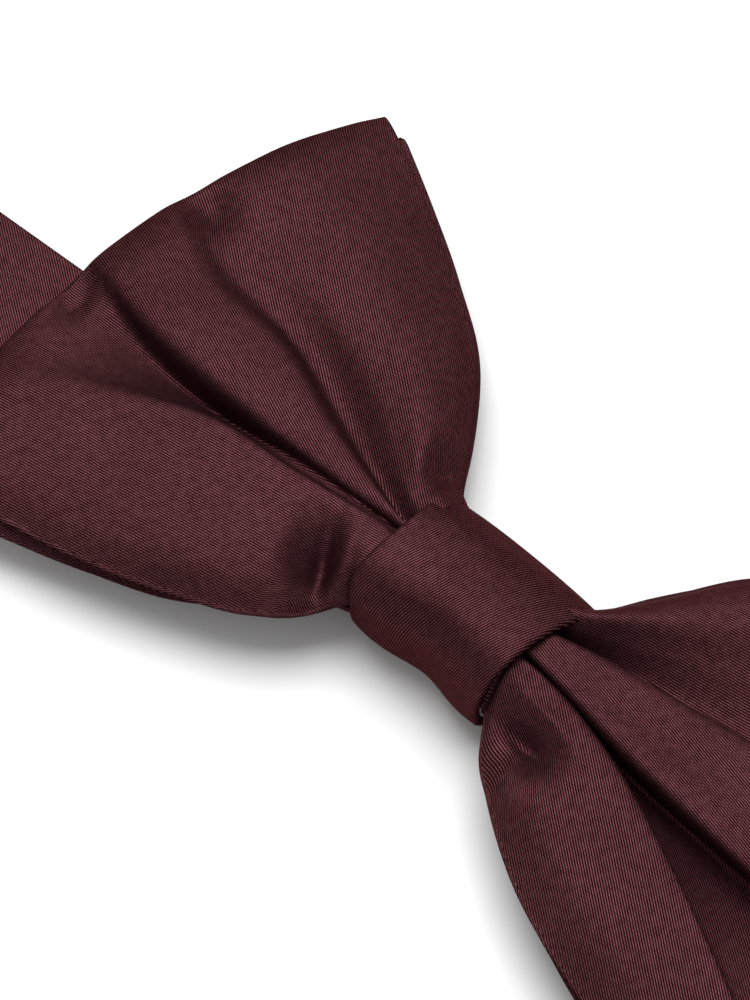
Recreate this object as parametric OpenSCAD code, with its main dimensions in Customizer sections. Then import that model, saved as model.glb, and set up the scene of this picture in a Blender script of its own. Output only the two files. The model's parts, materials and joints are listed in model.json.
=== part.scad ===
// Ready-tied satin bow tie lying on its back, with its adjustable neck band folded behind it.
// +X runs along the bow, +Y up its height, +Z out of its face. The table is the plane Z = 0.

/* [Bow] */
// Length of the bow from one wing end to the other
bow_length = 120; // [110:1:130]
// Height of a front wing across its corners
bow_height = 70; // [58:1:76]
// How far a wing's corners stand in from its rounded end
corner_inset = 8; // [6:1:14]
// Lift of each wing about the knot, towards the top edge, in degrees
wing_lift = 6; // [0:0.5:8]
// How much shorter and lower the back bow is all round
back_bow_step = 3; // [2:0.5:5]
// Thickness of a front wing beside the knot
front_wing_root = 6; // [5:0.5:6.5]
// Thickness of a front wing at its end
front_wing_tip = 3.6; // [3:0.2:4.4]
// Thickness of a back wing
back_wing_thick = 2.2; // [2:0.1:2.4]
// Thickness of one folded satin wall
satin_wall = 0.5; // [0.4:0.05:0.6]

/* [Knot] */
// Width of the knot band, along the bow
knot_width = 20; // [16:0.5:22]
// Height of the knot
knot_height = 18.5; // [17.5:0.5:21]
// Depth of the knot from its back seam to its front
knot_depth = 16; // [15.6:0.1:17]
// Radius of the knot's rounded edges
knot_round = 5; // [4:0.5:6]

/* [Neck band] */
// Width of the neck band
band_width = 16; // [15:0.5:18]
// Thickness of the neck band
band_thick = 1; // [0.9:0.05:1.1]
// Turn of the neck band against the bow, in degrees
band_turn = 4; // [0:0.5:8]
// Distance from the middle of the bow to each fold of the neck band
fold_reach = 110; // [108:1:130]
// Width of the thin adjuster tape
tape_width = 14; // [12:0.5:14]
// Thickness of the adjuster tape
tape_thick = 0.5; // [0.4:0.05:0.5]

/* [Fittings] */
// Width of the slider, the hook and the eye
fitting_width = 19; // [18:0.5:20]
// Thickness of the slider and the eye
fitting_thick = 1.1; // [1:0.05:1.1]
// Place of the slider along the band
slider_place = 78; // [76:1:82]
// Place of the bars of the hook and the eye along the band
bar_place = 46; // [44:1:48]
// Length of the eye's slot, along the band
eye_slot = 4.8; // [4.6:0.1:5.4]

/* [Hidden] */

satin = [0.33, 0.18, 0.20];
canvas = [0.85, 0.82, 0.76];
thread = [0.22, 0.10, 0.12];
metal = [0.78, 0.78, 0.80];

gap = 0.3;             // clearance between pieces that move on each other
touch = 0.05;          // clearance between cloth layers that lie on each other
stitch_rise = 0.2;     // how far a stitch stands out of the cloth

// Heights of the layers above the table
run_top_z = 3.9;                                   // underside of the upper run of the neck band
back_bow_z = run_top_z + band_thick + 0.4;         // underside of the back bow
front_bow_z = back_bow_z + back_wing_thick + gap;  // underside of the front bow
knot_z = knot_depth / 2;                           // middle of the knot

// Neck band: hinge beside the knot, and the fold's bend
band_hinge_x = 18.8;
hinge_z = run_top_z + band_thick / 2;
fold_z = (run_top_z + band_thick) / 2;
fold_r = fold_z - band_thick / 2;
centre_width = 13;                // the band is gathered a little where it passes through the knot
stub_length = 6;                  // band beyond the fold that the adjuster tape is sewn to

// Wings
wing_waist_x = 12;                // where the wings spread from the knot
wing_root_x = 14.5;               // where the wing solids begin, clear of the knot when they bend
wing_stations = 9;
wing_sides = 24;
canvas_thick = 0.7;

// Fittings
pin_r = fitting_thick / 2;                  // round bar that a tape loop turns on
loop_r = pin_r + 0.2;                       // bore of a tape loop
pin_z = loop_r + tape_thick;                // a loop rests on the table
slot_width = tape_width + 1;
tape_slot = 2.2;
slider_length = 12;
slider_outer_bar = 1.4;
slider_middle_bar = 1.8;
slider_z = 2 * tape_thick + 3 * touch;      // underside of the slider, over the two plies
over_z = slider_z + fitting_thick + tape_thick + 2 * touch;   // underside of the ply over the slider
lip_thick = 0.7;
tongue_thick = 0.8;
tongue_width = 9;

// ---- shapes ------------------------------------------------------------------------------

// Rectangle with round corners, centred
module round_rect(w, h, r) {
    square([w - 2 * r, h], center = true);
    square([w, h - 2 * r], center = true);
    for (x = [-1, 1], y = [-1, 1])
        translate([x * (w / 2 - r), y * (h / 2 - r)]) circle(r, $fn = 48);
}

// Bar along X with a rounded section, centred on the height z
module x_bar(length, w, h, r, z) {
    translate([0, 0, z]) rotate([90, 0, 90]) linear_extrude(length, center = true) round_rect(w, h, r);
}

// Flat outline in X and Z, drawn across the band with the given width
module across(width) {
    rotate([90, 0, 0]) linear_extrude(width, center = true) children();
}

// Straight piece of tape from x0 to x1
module tape(x0, x1, z, width, thick) {
    translate([min(x0, x1), -width / 2, z]) cube([abs(x1 - x0), width, thick]);
}

// Round bar across the band
module cross_pin(x, z, r, width) {
    translate([x, 0, z]) rotate([90, 0, 0]) cylinder(h = width, r = r, center = true, $fn = 32);
}

function signed_power(a, p) = sign(a) * pow(abs(a), p);

// Half of a wing's height at the place x, widening as a square root from the waist to the corner
function wing_half(x, corner_x, half) =
    knot_height / 2 + (half - knot_height / 2) * sqrt((x - wing_waist_x) / (corner_x - wing_waist_x));

// Point of a wing: s runs from its root to its end, a goes round its flattened section
function wing_point(s, a, root_x, corner_x, half, z, t_root, t_tip) =
    let (
        v = signed_power(cos(a), 0.6),
        w = signed_power(sin(a), 0.8),
        x = root_x + (corner_x - root_x) * s,
        t = t_root + (t_tip - t_root) * s
    ) [x + corner_inset * s * s * (1 - v * v), wing_half(x, corner_x, half) * v, z + t / 2 * (1 + w)];

// Closed wing from rings of points; inset draws the same wing that much smaller all round
module wing_loft(half, end_x, z, t_root, t_tip, inset = 0, plan_inset = 0) {
    plan = inset + plan_inset;
    n = wing_sides;
    points = [
        for (i = [0 : wing_stations], k = [0 : n - 1])
            wing_point(i / wing_stations, k * 360 / n, wing_root_x + plan, end_x - corner_inset - plan,
                       half - plan, z + inset, t_root - 2 * inset, t_tip - 2 * inset)
    ];
    last = wing_stations * n;
    sides = [
        for (i = [0 : wing_stations - 1], k = [0 : n - 1], half_face = [0, 1])
            let (a = i * n + k, b = i * n + (k + 1) % n)
                half_face == 0 ? [a, a + n, b] : [b, a + n, b + n]
    ];
    caps = [
        for (k = [0 : n / 2 - 1])
            let (k2 = (n - k) % n, k3 = n - k - 1)
                each concat(
                    k == 0 ? [[k, k + 1, k3]] : k3 == k + 1 ? [[k, k + 1, k2]] :
                        [[k, k + 1, k3], [k, k3, k2]],
                    k == 0 ? [[last + k, last + k3, last + k + 1]] :
                        k3 == k + 1 ? [[last + k, last + k2, last + k + 1]] :
                        [[last + k, last + k3, last + k + 1], [last + k, last + k2, last + k3]])
    ];
    polyhedron(points = points, faces = concat(sides, caps), convexity = 6);
}

// Places a wing on its side of the knot, lifted: side is 1 for the right wing and -1 for the left
module on_side(side) {
    mirror([side > 0 ? 0 : 1, 0, 0]) rotate([0, 0, wing_lift]) children();
}

// Places a piece of the neck band on its side, turned with the band
module band_side(side) {
    rotate([0, 0, band_turn]) mirror([side > 0 ? 0 : 1, 0, 0]) children();
}

// Row of short stitches across the band
module cross_stitches(x, z, count, pitch) {
    for (i = [0 : count - 1])
        translate([x, (i - (count - 1) / 2) * pitch, z + stitch_rise / 2])
            cube([1.6, 0.35, stitch_rise], center = true);
}

// ---- knot ---------------------------------------------------------------------------------

knot_lining_thick = 0.8;

module knot_ring(length, outset, wall) {
    difference() {
        x_bar(length, knot_height - 2 * outset, knot_depth - 2 * outset, knot_round - outset, knot_z);
        x_bar(length + 2, knot_height - 2 * (outset + wall), knot_depth - 2 * (outset + wall),
              knot_round - outset - wall, knot_z);
    }
}

// Lapped seam along the back of the knot: a shallow groove that its stitches lie in
seam_y = 3.1;
seam_width = 2.4;
seam_deep = 0.3;

module knot_band() {
    color(satin) difference() {
        knot_ring(knot_width, 0, satin_wall + 0.1);
        translate([-knot_width, seam_y - seam_width / 2, -1]) cube([2 * knot_width, seam_width, 1 + seam_deep]);
    }
}

module knot_interlining() {
    color(canvas) knot_ring(knot_width - 1, satin_wall + 0.1, knot_lining_thick);
}

module knot_seam_stitches() {
    count = 9;
    pitch = (knot_width - 3) / (count - 1);
    color(thread)
        for (i = [0 : count - 1])
            translate([(i - (count - 1) / 2) * pitch, seam_y, seam_deep - stitch_rise / 2]) rotate([0, 0, 30])
                cube([0.35, 1.6, stitch_rise], center = true);
}

// ---- gathered middle of the bow -----------------------------------------------------------

gather_length = 2 * 12.4;
gather_width = 13;
gather_thread_thick = 0.5;
gather_low = run_top_z + band_thick + gather_thread_thick + touch;
gather_split = front_bow_z;
gather_high = knot_depth - satin_wall - 0.1 - knot_lining_thick
    - gather_thread_thick - 2 * touch;

module front_bow_gather() {
    h = gather_high - gather_split;
    color(satin) x_bar(gather_length, gather_width, h, 2.4, gather_split + h / 2);
}

module back_bow_gather() {
    h = gather_split - touch - gather_low;
    color(satin) x_bar(gather_length, gather_width, h, 1.1, gather_low + h / 2);
}

module gather_thread() {
    h = gather_high - gather_low;
    ring = 2 * touch;
    color(thread)
        for (x = [-1.5 : 0.75 : 1.5])
            translate([x, 0, 0])
                difference() {
                    x_bar(0.5, gather_width + ring + 2 * gather_thread_thick,
                          h + ring + 2 * gather_thread_thick - 2 * touch, 2.4, gather_low + h / 2);
                    x_bar(1, gather_width + ring, h + ring - 2 * touch, 1.1, gather_low + h / 2);
                }
}

// ---- wings --------------------------------------------------------------------------------

module front_wing(side) {
    color(satin) on_side(side) difference() {
        wing_loft(bow_height / 2, bow_length / 2, front_bow_z, front_wing_root, front_wing_tip);
        wing_loft(bow_height / 2, bow_length / 2, front_bow_z, front_wing_root, front_wing_tip,
                  satin_wall);
    }
}

module front_interlining(side) {
    color(canvas) on_side(side)
        wing_loft(bow_height / 2, bow_length / 2, front_bow_z + front_wing_tip / 2 - canvas_thick / 2,
                  canvas_thick, canvas_thick, 0, 2.2);
}

module back_wing(side) {
    color(satin) on_side(side) difference() {
        wing_loft(bow_height / 2 - back_bow_step / 2, bow_length / 2 - back_bow_step, back_bow_z,
                  back_wing_thick, back_wing_thick);
        wing_loft(bow_height / 2 - back_bow_step / 2, bow_length / 2 - back_bow_step, back_bow_z,
                  back_wing_thick, back_wing_thick, satin_wall);
    }
}

module back_interlining(side) {
    color(canvas) on_side(side)
        wing_loft(bow_height / 2 - back_bow_step / 2, bow_length / 2 - back_bow_step,
                  back_bow_z + back_wing_thick / 2 - canvas_thick / 2,
                  canvas_thick, canvas_thick, 0, 2.2);
}

module front_wing_left() { front_wing(-1); }
module front_wing_right() { front_wing(1); }
module front_interlining_left() { front_interlining(-1); }
module front_interlining_right() { front_interlining(1); }
module back_wing_left() { back_wing(-1); }
module back_wing_right() { back_wing(1); }
module back_interlining_left() { back_interlining(-1); }
module back_interlining_right() { back_interlining(1); }

// ---- neck band ----------------------------------------------------------------------------

// Middle of the band: from one hinge to the other, through the knot
module neck_band_centre() {
    end = band_hinge_x - band_thick / 2 - gap;
    color(satin) rotate([0, 0, band_turn]) tape(-end, end, run_top_z, centre_width, band_thick);
}

// Upper run: a hollow tube of satin from the hinge out to the fold
module upper_run(side) {
    inner = band_hinge_x + 1;
    color(satin) band_side(side) difference() {
        union() {
            tape(band_hinge_x, fold_reach - gap, run_top_z, band_width, band_thick);
            cross_pin(band_hinge_x, hinge_z, band_thick / 2, band_width);
        }
        tape(inner, fold_reach - gap - 1, run_top_z + band_thick * 0.3, band_width - 1.6,
             band_thick * 0.4);
    }
}

module upper_run_lining(side) {
    inner = band_hinge_x + 1;
    color(canvas) band_side(side)
        tape(inner, fold_reach - gap - 1, run_top_z + band_thick * 0.3, band_width - 1.6,
             band_thick * 0.4);
}

// Fold: half a round bend that joins the upper run to the lower one
module band_fold(side) {
    color(satin) band_side(side) intersection() {
        difference() {
            cross_pin(fold_reach, fold_z, fold_r + band_thick / 2, band_width);
            cross_pin(fold_reach, fold_z, fold_r - band_thick / 2, band_width + 2);
        }
        translate([fold_reach, -band_width, -band_width]) cube(2 * band_width);
    }
}

module neck_band_left() { upper_run(-1); }
module neck_band_right() { upper_run(1); }
module neck_interlining_left() { upper_run_lining(-1); }
module neck_interlining_right() { upper_run_lining(1); }
module neck_band_left_fold() { band_fold(-1); }
module neck_band_right_fold() { band_fold(1); }

// Tube of tape round a bar, with a flat tab towards the band
module tape_loop(tab_end, tab_thick) {
    difference() {
        union() {
            cross_pin(bar_place, pin_z, loop_r + tape_thick, tape_width);
            tape(bar_place + 0.6, tab_end, 0, tape_width, tab_thick);
        }
        cross_pin(bar_place, pin_z, loop_r, tape_width + 2);
    }
}

module neck_band_left_end() {
    narrow = bar_place + 3;
    color(satin) band_side(-1) {
        tape(narrow, fold_reach - gap, 0, band_width, band_thick);
        tape_loop(narrow + 1, band_thick);
    }
}

module left_end_stitches() {
    color(thread) band_side(-1)
        for (x = [0, 2.4]) cross_stitches(bar_place + 5 + x, band_thick, 11, 1.2);
}

module neck_band_right_end() {
    color(satin) band_side(1)
        tape(fold_reach - gap, fold_reach - stub_length, 0, band_width, band_thick);
}

module right_end_stitches() {
    color(thread) band_side(1)
        for (x = [0, 2.4]) cross_stitches(fold_reach - 4.2 + x, band_thick, 11, 1.2);
}

// ---- adjuster -----------------------------------------------------------------------------

ply_z = tape_thick + touch;                  // underside of the upper ply, on the lower one
slider_side = slider_length / 2;
loop_half = slider_middle_bar / 2 + tape_thick + touch;

module adjuster_tape_single() {
    color(satin) band_side(1)
        tape(fold_reach - stub_length, slider_place + slider_side + 1, ply_z, tape_width, tape_thick);
}

// The sewn end of the tape: a squared loop round the slider's middle bar, and its tab
module slider_tape_loop() {
    low = slider_z - tape_thick - touch;
    high = slider_z + fitting_thick + tape_thick + touch;
    hole = slider_middle_bar / 2 + touch;
    color(satin) band_side(1) {
        across(tape_width) difference() {
            translate([slider_place - loop_half, low]) square([2 * loop_half, high - low]);
            translate([slider_place - hole, slider_z - touch])
                square([2 * hole, fitting_thick + 2 * touch]);
        }
        tape(slider_place - loop_half, slider_place - loop_half + tape_thick, 0, tape_width, low);
        tape(slider_place - slider_side - 1, slider_place - loop_half, 0, tape_width, tape_thick);
    }
}

// The upper ply where it rises through the slider, over its middle bar and down again
module adjuster_tape_over_slider() {
    foot = slider_side - slider_outer_bar - 0.4;
    top = loop_half + 0.25;
    out = slider_side + 1;
    t = tape_thick;
    path = [[-out, ply_z], [-foot, ply_z], [-top, over_z], [top, over_z], [foot, ply_z], [out, ply_z]];
    color(satin) band_side(1) translate([slider_place, 0, 0]) across(tape_width)
        polygon(concat(path, [for (i = [len(path) - 1 : -1 : 0]) path[i] + [0, t]]));
}

module adjuster_tape_double() {
    start = slider_place - slider_side - 1;
    end = bar_place + 5;
    color(satin) band_side(1) tape(start, end, 0, tape_width, 2 * tape_thick + touch);
}

module hook_tape_loop() {
    color(satin) band_side(1) tape_loop(bar_place + 5, 2 * tape_thick + touch);
}

// ---- metal fittings -----------------------------------------------------------------------

// Flat frame from x0 to x1, with rounded corners
module frame_plate(x0, x1, width, z, thick) {
    translate([(x0 + x1) / 2, 0, z]) linear_extrude(thick) round_rect(abs(x1 - x0), width, 1.2);
}

module slot_cut(x0, x1, width) {
    translate([(x0 + x1) / 2, 0, -1]) linear_extrude(fitting_width) round_rect(abs(x1 - x0), width, 0.5);
}

module slider() {
    slot = (slider_length - 2 * slider_outer_bar - slider_middle_bar) / 2;
    first = slider_middle_bar / 2;
    color(metal) band_side(1) translate([slider_place, 0, 0]) difference() {
        frame_plate(-slider_side, slider_side, fitting_width, slider_z, fitting_thick);
        for (side = [-1, 1]) slot_cut(side * first, side * (first + slot), slot_width);
    }
}

// The barred end that the hook and the eye share: a round bar between two short rails
module barred_end(thick, bridge) {
    inner = bar_place - pin_r - tape_slot;
    difference() {
        frame_plate(bar_place + pin_r, inner - bridge, fitting_width, pin_z - thick / 2, thick);
        translate([inner, -slot_width / 2, -1]) cube([tape_slot + 3 * pin_r, slot_width, 9]);
    }
    cross_pin(bar_place, pin_z, pin_r, slot_width + 2);
}

module eye() {
    inner = bar_place - pin_r - tape_slot;
    bridge = 1.6;
    far = inner - bridge - eye_slot;
    nose = 2.2;
    color(metal) band_side(-1) {
        barred_end(fitting_thick, bridge);
        difference() {
            frame_plate(inner, far - nose, fitting_width, pin_z - fitting_thick / 2, fitting_thick);
            translate([inner - bridge, -fitting_width, -1]) cube([9, 2 * fitting_width, 9]);
            slot_cut(far, inner - bridge, fitting_width - 6);
        }
        difference() {
            translate([inner - bridge - 1.4, -fitting_width / 2, pin_z - fitting_thick / 2])
                cube([1.4 + bridge, fitting_width, fitting_thick]);
            slot_cut(far, inner - bridge, fitting_width - 6);
        }
    }
}

module hook() {
    inner = bar_place - pin_r - tape_slot;
    bridge = 2;
    tip = bar_place - 12.5;
    lip_end = tip + 5;
    low = pin_z - tongue_thick / 2;
    high = run_top_z - gap;
    bend_r = (high - low) / 2;
    color(metal) band_side(1) {
        barred_end(fitting_thick, bridge);
        // tongue, its round bend, and the lip that holds the eye
        tape(inner - 0.5, tip + bend_r, low, tongue_width, tongue_thick);
        tape(tip + bend_r, lip_end, high - lip_thick, tongue_width, lip_thick);
        intersection() {
            difference() {
                cross_pin(tip + bend_r, low + bend_r, bend_r, tongue_width);
                cross_pin(tip + bend_r, low + bend_r, bend_r - lip_thick, tongue_width + 2);
            }
            translate([tip - 9, -9, -9]) cube([9 + bend_r, 18, 18]);
        }
    }
}

// ---- which pieces are drawn ---------------------------------------------------------------

knot_band();
knot_interlining();
knot_seam_stitches();
front_bow_gather();
back_bow_gather();
gather_thread();
neck_band_centre();
front_wing_left();
front_interlining_left();
back_wing_left();
back_interlining_left();
front_wing_right();
front_interlining_right();
back_wing_right();
back_interlining_right();
neck_band_left();
neck_interlining_left();
neck_band_left_fold();
neck_band_left_end();
left_end_stitches();
eye();
neck_band_right();
neck_interlining_right();
neck_band_right_fold();
neck_band_right_end();
right_end_stitches();
adjuster_tape_single();
slider();
slider_tape_loop();
adjuster_tape_over_slider();
adjuster_tape_double();
hook_tape_loop();
hook();
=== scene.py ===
"""A ready-tied satin bow tie lying on its back, with its neck band folded flat behind it.

Lengths in the tables and shape functions are millimetres and are turned into metres when a mesh is made.
Every piece of cloth is a surface worked out from two parameters, and carries a UV map named Weave that
holds its place along the two thread directions in millimetres, so that the ribs follow the cloth.
"""
import json
import math

import bmesh
import bpy
import numpy as np
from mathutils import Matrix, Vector


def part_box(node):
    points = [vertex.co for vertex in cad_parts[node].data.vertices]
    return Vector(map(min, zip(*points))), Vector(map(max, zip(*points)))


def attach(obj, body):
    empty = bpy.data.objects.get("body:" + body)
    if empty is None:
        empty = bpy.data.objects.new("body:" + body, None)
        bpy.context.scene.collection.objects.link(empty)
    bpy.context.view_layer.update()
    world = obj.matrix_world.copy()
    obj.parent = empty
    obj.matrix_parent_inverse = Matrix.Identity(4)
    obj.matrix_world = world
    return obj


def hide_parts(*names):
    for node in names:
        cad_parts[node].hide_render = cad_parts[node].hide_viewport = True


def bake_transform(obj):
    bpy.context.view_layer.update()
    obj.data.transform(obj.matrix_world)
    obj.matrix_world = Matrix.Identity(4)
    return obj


MM = 0.001
WELD = 0.002                      # points of a mesh closer than this, in millimetres, are one
SIDE_NAME = {-1: "left", 1: "right"}
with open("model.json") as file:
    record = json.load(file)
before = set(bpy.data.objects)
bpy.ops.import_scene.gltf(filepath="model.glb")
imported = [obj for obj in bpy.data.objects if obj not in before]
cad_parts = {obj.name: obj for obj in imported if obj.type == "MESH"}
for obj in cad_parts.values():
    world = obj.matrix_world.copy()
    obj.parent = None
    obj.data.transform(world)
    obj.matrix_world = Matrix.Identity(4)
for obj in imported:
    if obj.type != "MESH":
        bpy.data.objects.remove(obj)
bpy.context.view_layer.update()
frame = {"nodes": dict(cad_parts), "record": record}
scene = bpy.context.scene
scene.view_settings.view_transform = "Standard"

# Measures of the bow, in millimetres
WING_LIFT = math.radians(6)       # each wing rises towards the top edge by this turn about the knot
BAND_TURN = math.radians(4)       # the neck band lies turned against the bow
KNOT_EDGE = 9.0                   # the wings' cloth begins here, just inside the knot band
END_REACH = 61.2                  # middle of a front wing's end
CORNER_INSET = 7.2                # how far the corners stand in from it
CORNER = 35.0                     # height of the corners
BACK_REACH = END_REACH - 3.5      # the back bow is shorter at each end
BACK_INSET = CORNER_INSET - 1.5


# ---- surfaces --------------------------------------------------------

def smooth_through(knots, values, t):
    """Smooth curve through the values at the knots: a cubic on each span, whose slope at a knot is the
    weighted mean of the slopes on either side. The first axis of values runs along the knots."""
    knots, values, t = np.asarray(knots, float), np.asarray(values, float), np.asarray(t, float)
    step = np.diff(knots).reshape((-1,) + (1,) * (values.ndim - 1))
    slope = np.diff(values, axis=0) / step
    inner = (slope[:-1] * step[1:] + slope[1:] * step[:-1]) / (step[:-1] + step[1:])
    tangent = np.concatenate([slope[:1], inner, slope[-1:]])
    span = np.clip(np.searchsorted(knots, t, side="right") - 1, 0, len(knots) - 2)
    shape = (-1,) + (1,) * (values.ndim - 1)
    width = np.diff(knots)[span].reshape(shape)
    u = (t.reshape(shape) - knots[span].reshape(shape)) / width
    p0, p1, m0, m1 = values[span], values[span + 1], tangent[span] * width, tangent[span + 1] * width
    return ((2 * u**3 - 3 * u**2 + 1) * p0 + (u**3 - 2 * u**2 + u) * m0
            + (3 * u**2 - 2 * u**3) * p1 + (u**3 - u**2) * m1)


def smooth_step(x, low, high):
    """0 below low, 1 above high, and a smooth rise between them."""
    t = np.clip((x - low) / (high - low), 0, 1)
    return t * t * (3 - 2 * t)


def arc_length(points):
    """Length along a line of points, from its first point."""
    return np.concatenate([[0], np.cumsum(np.linalg.norm(np.diff(points, axis=0), axis=1))])


def cloth_mesh(name, points, charts, chart_of=None, wrap_cols=False, wrap_rows=False, cap_rows=False,
               weld=0.0):
    """Mesh of the grid of points (rows, columns, 3) in millimetres, with quads between neighbours.
    charts (charts, rows, columns, 2) are places along the threads, and the faces that begin at each
    column use the chart that chart_of names. wrap joins the last row or column to the first, cap_rows
    closes both end rings with a fan, and weld merges points closer than that many millimetres."""
    rows, cols = points.shape[:2]
    charts = charts if charts.ndim == 4 else charts[None]
    chart_of = np.zeros(cols, int) if chart_of is None else chart_of
    grid = np.arange(rows * cols).reshape(rows, cols)
    index = np.concatenate([grid, grid[:, :1]], axis=1) if wrap_cols else grid
    if wrap_rows:
        index = np.concatenate([index, index[:1]], axis=0)
    quads = np.stack([index[:-1, :-1], index[1:, :-1], index[1:, 1:], index[:-1, 1:]], -1).reshape(-1, 4)
    flat = points.reshape(-1, 3)
    flat_charts = charts.reshape(len(charts), -1, 2)
    faces = quads.tolist()
    face_chart = np.tile(chart_of[:index.shape[1] - 1], index.shape[0] - 1)
    if cap_rows:
        flat = np.concatenate([flat, points[0].mean(0)[None], points[-1].mean(0)[None]])
        ends = np.stack([charts[:, 0].mean(1), charts[:, -1].mean(1)], axis=1)
        flat_charts = np.concatenate([flat_charts, ends], axis=1)
        face_chart = np.concatenate([face_chart, np.zeros(2 * cols, int)])
        first, last = np.full(cols, rows * cols), np.full(cols, rows * cols + 1)
        faces += np.stack([first, grid[0], np.roll(grid[0], -1)], -1).tolist()
        faces += np.stack([last, np.roll(grid[-1], -1), grid[-1]], -1).tolist()
    mesh = bpy.data.meshes.new(name)
    mesh.from_pydata((flat * MM).tolist(), [], faces)
    uv = mesh.uv_layers.new(name="Weave")
    corner = np.empty(len(mesh.loops), np.int32)
    mesh.loops.foreach_get("vertex_index", corner)
    sides = np.array([len(face) for face in faces])
    corner_chart = np.repeat(face_chart, sides)
    uv.data.foreach_set("uv", flat_charts[corner_chart, corner].astype(np.float32).ravel())
    mesh.polygons.foreach_set("use_smooth", np.ones(len(mesh.polygons), bool))
    work = bmesh.new()
    work.from_mesh(mesh)
    if weld:
        bmesh.ops.remove_doubles(work, verts=work.verts, dist=weld * MM)
    bmesh.ops.recalc_face_normals(work, faces=work.faces)
    work.to_mesh(mesh)
    work.free()
    piece = bpy.data.objects.new(name, mesh)
    scene.collection.objects.link(piece)
    return piece


def thread_places(x, y, rib_angle):
    """Places along the two thread directions of flat cloth whose ribs run at rib_angle (degrees from
    +X): the threads lie 45 degrees to either side of the ribs."""
    a = math.radians(rib_angle - 45)
    return np.stack([x * math.cos(a) + y * math.sin(a), -x * math.sin(a) + y * math.cos(a)], -1)


def join(name, pieces):
    """One object from several."""
    with bpy.context.temp_override(active_object=pieces[0], selected_editable_objects=pieces,
                                   object=pieces[0], selected_objects=pieces):
        bpy.ops.object.join()
    pieces[0].name = pieces[0].data.name = name
    return pieces[0]


# ---- materials -------------------------------------------------------

def new_material(name):
    """A material, its nodes, its links and its surface shader."""
    material = bpy.data.materials.new(name)
    material.use_nodes = True
    nodes, links = material.node_tree.nodes, material.node_tree.links
    return material, nodes, links, nodes["Principled BSDF"]


def math_node(nodes, links, operation, *values):
    """Math node whose inputs are sockets or numbers."""
    node = nodes.new("ShaderNodeMath")
    node.operation = operation
    for socket, value in zip(node.inputs, values):
        if isinstance(value, (int, float)):
            socket.default_value = value
        else:
            links.new(value, socket)
    return node.outputs[0]


def noise(nodes, links, place, scale, detail=2.0, roughness=0.5):
    """Socket of a noise texture at the given place."""
    node = nodes.new("ShaderNodeTexNoise")
    links.new(place, node.inputs["Vector"])
    for socket, value in (("Scale", scale), ("Detail", detail), ("Roughness", roughness)):
        node.inputs[socket].default_value = value
    return node.outputs["Fac"]


def raise_surface(nodes, links, shader, height, strength, distance):
    """Bump of a shader's surface by a height socket, with the distance in millimetres."""
    bump = nodes.new("ShaderNodeBump")
    bump.inputs["Strength"].default_value = strength
    bump.inputs["Distance"].default_value = distance * MM
    links.new(height, bump.inputs["Height"])
    links.new(bump.outputs[0], shader.inputs["Normal"])


def satin_weave_group():
    """Satin weave: short dashes on fine diagonal ribs. Waves along the two thread directions and along
    their difference are added, the threads wander a little, and streaks make some dashes brighter than
    others. Rib is 1 on the brightest thread and Lift is the height of the wave."""
    group = bpy.data.node_groups.new("Satin weave", "ShaderNodeTree")
    for name, way, kind in (("Threads", "INPUT", "Vector"), ("Thread pitch", "INPUT", "Float"),
                            ("Rib", "OUTPUT", "Float"), ("Lift", "OUTPUT", "Float")):
        group.interface.new_socket(name, in_out=way, socket_type=f"NodeSocket{kind}")
    nodes, links = group.nodes, group.links

    def calc(operation, *values):
        return math_node(nodes, links, operation, *values)

    start, end = nodes.new("NodeGroupInput"), nodes.new("NodeGroupOutput")
    threads = start.outputs["Threads"]
    split = nodes.new("ShaderNodeSeparateXYZ")
    links.new(threads, split.inputs[0])
    turn = calc("DIVIDE", 2 * math.pi, start.outputs["Thread pitch"])
    weft = calc("MULTIPLY", split.outputs["Y"], turn)
    drift = calc("MULTIPLY", noise(nodes, links, threads, 0.35), 1.6)
    warp = calc("ADD", calc("MULTIPLY", split.outputs["X"], turn), drift)
    rib_wave = calc("MULTIPLY", calc("COSINE", calc("SUBTRACT", warp, weft)), 0.46)
    cross = calc("MULTIPLY", calc("ADD", calc("COSINE", warp), calc("COSINE", weft)), 0.06)
    wave = calc("ADD", rib_wave, cross)
    streak = noise(nodes, links, threads, 1.0, detail=3.0, roughness=0.7)
    uneven = calc("MULTIPLY", calc("SUBTRACT", streak, 0.5), 0.7)
    clamp = nodes.new("ShaderNodeClamp")
    links.new(calc("ADD", calc("ADD", wave, 0.5), uneven), clamp.inputs["Value"])
    links.new(calc("POWER", clamp.outputs[0], 1.6), end.inputs["Rib"])
    links.new(wave, end.inputs["Lift"])
    return group


def colour_mix(nodes, links, factor, low, high):
    """Mix of two colours by a socket: low at 0, high at 1."""
    mix = nodes.new("ShaderNodeMix")
    mix.data_type = "RGBA"
    links.new(factor, mix.inputs["Factor"])
    mix.inputs["A"].default_value = (*low, 1.0)
    mix.inputs["B"].default_value = (*high, 1.0)
    return mix.outputs["Result"]


def value_range(nodes, links, value, low, high):
    """A socket's 0 to 1 stretched to low to high."""
    node = nodes.new("ShaderNodeMapRange")
    links.new(value, node.inputs["Value"])
    node.inputs["To Min"].default_value = low
    node.inputs["To Max"].default_value = high
    return node.outputs[0]


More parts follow.
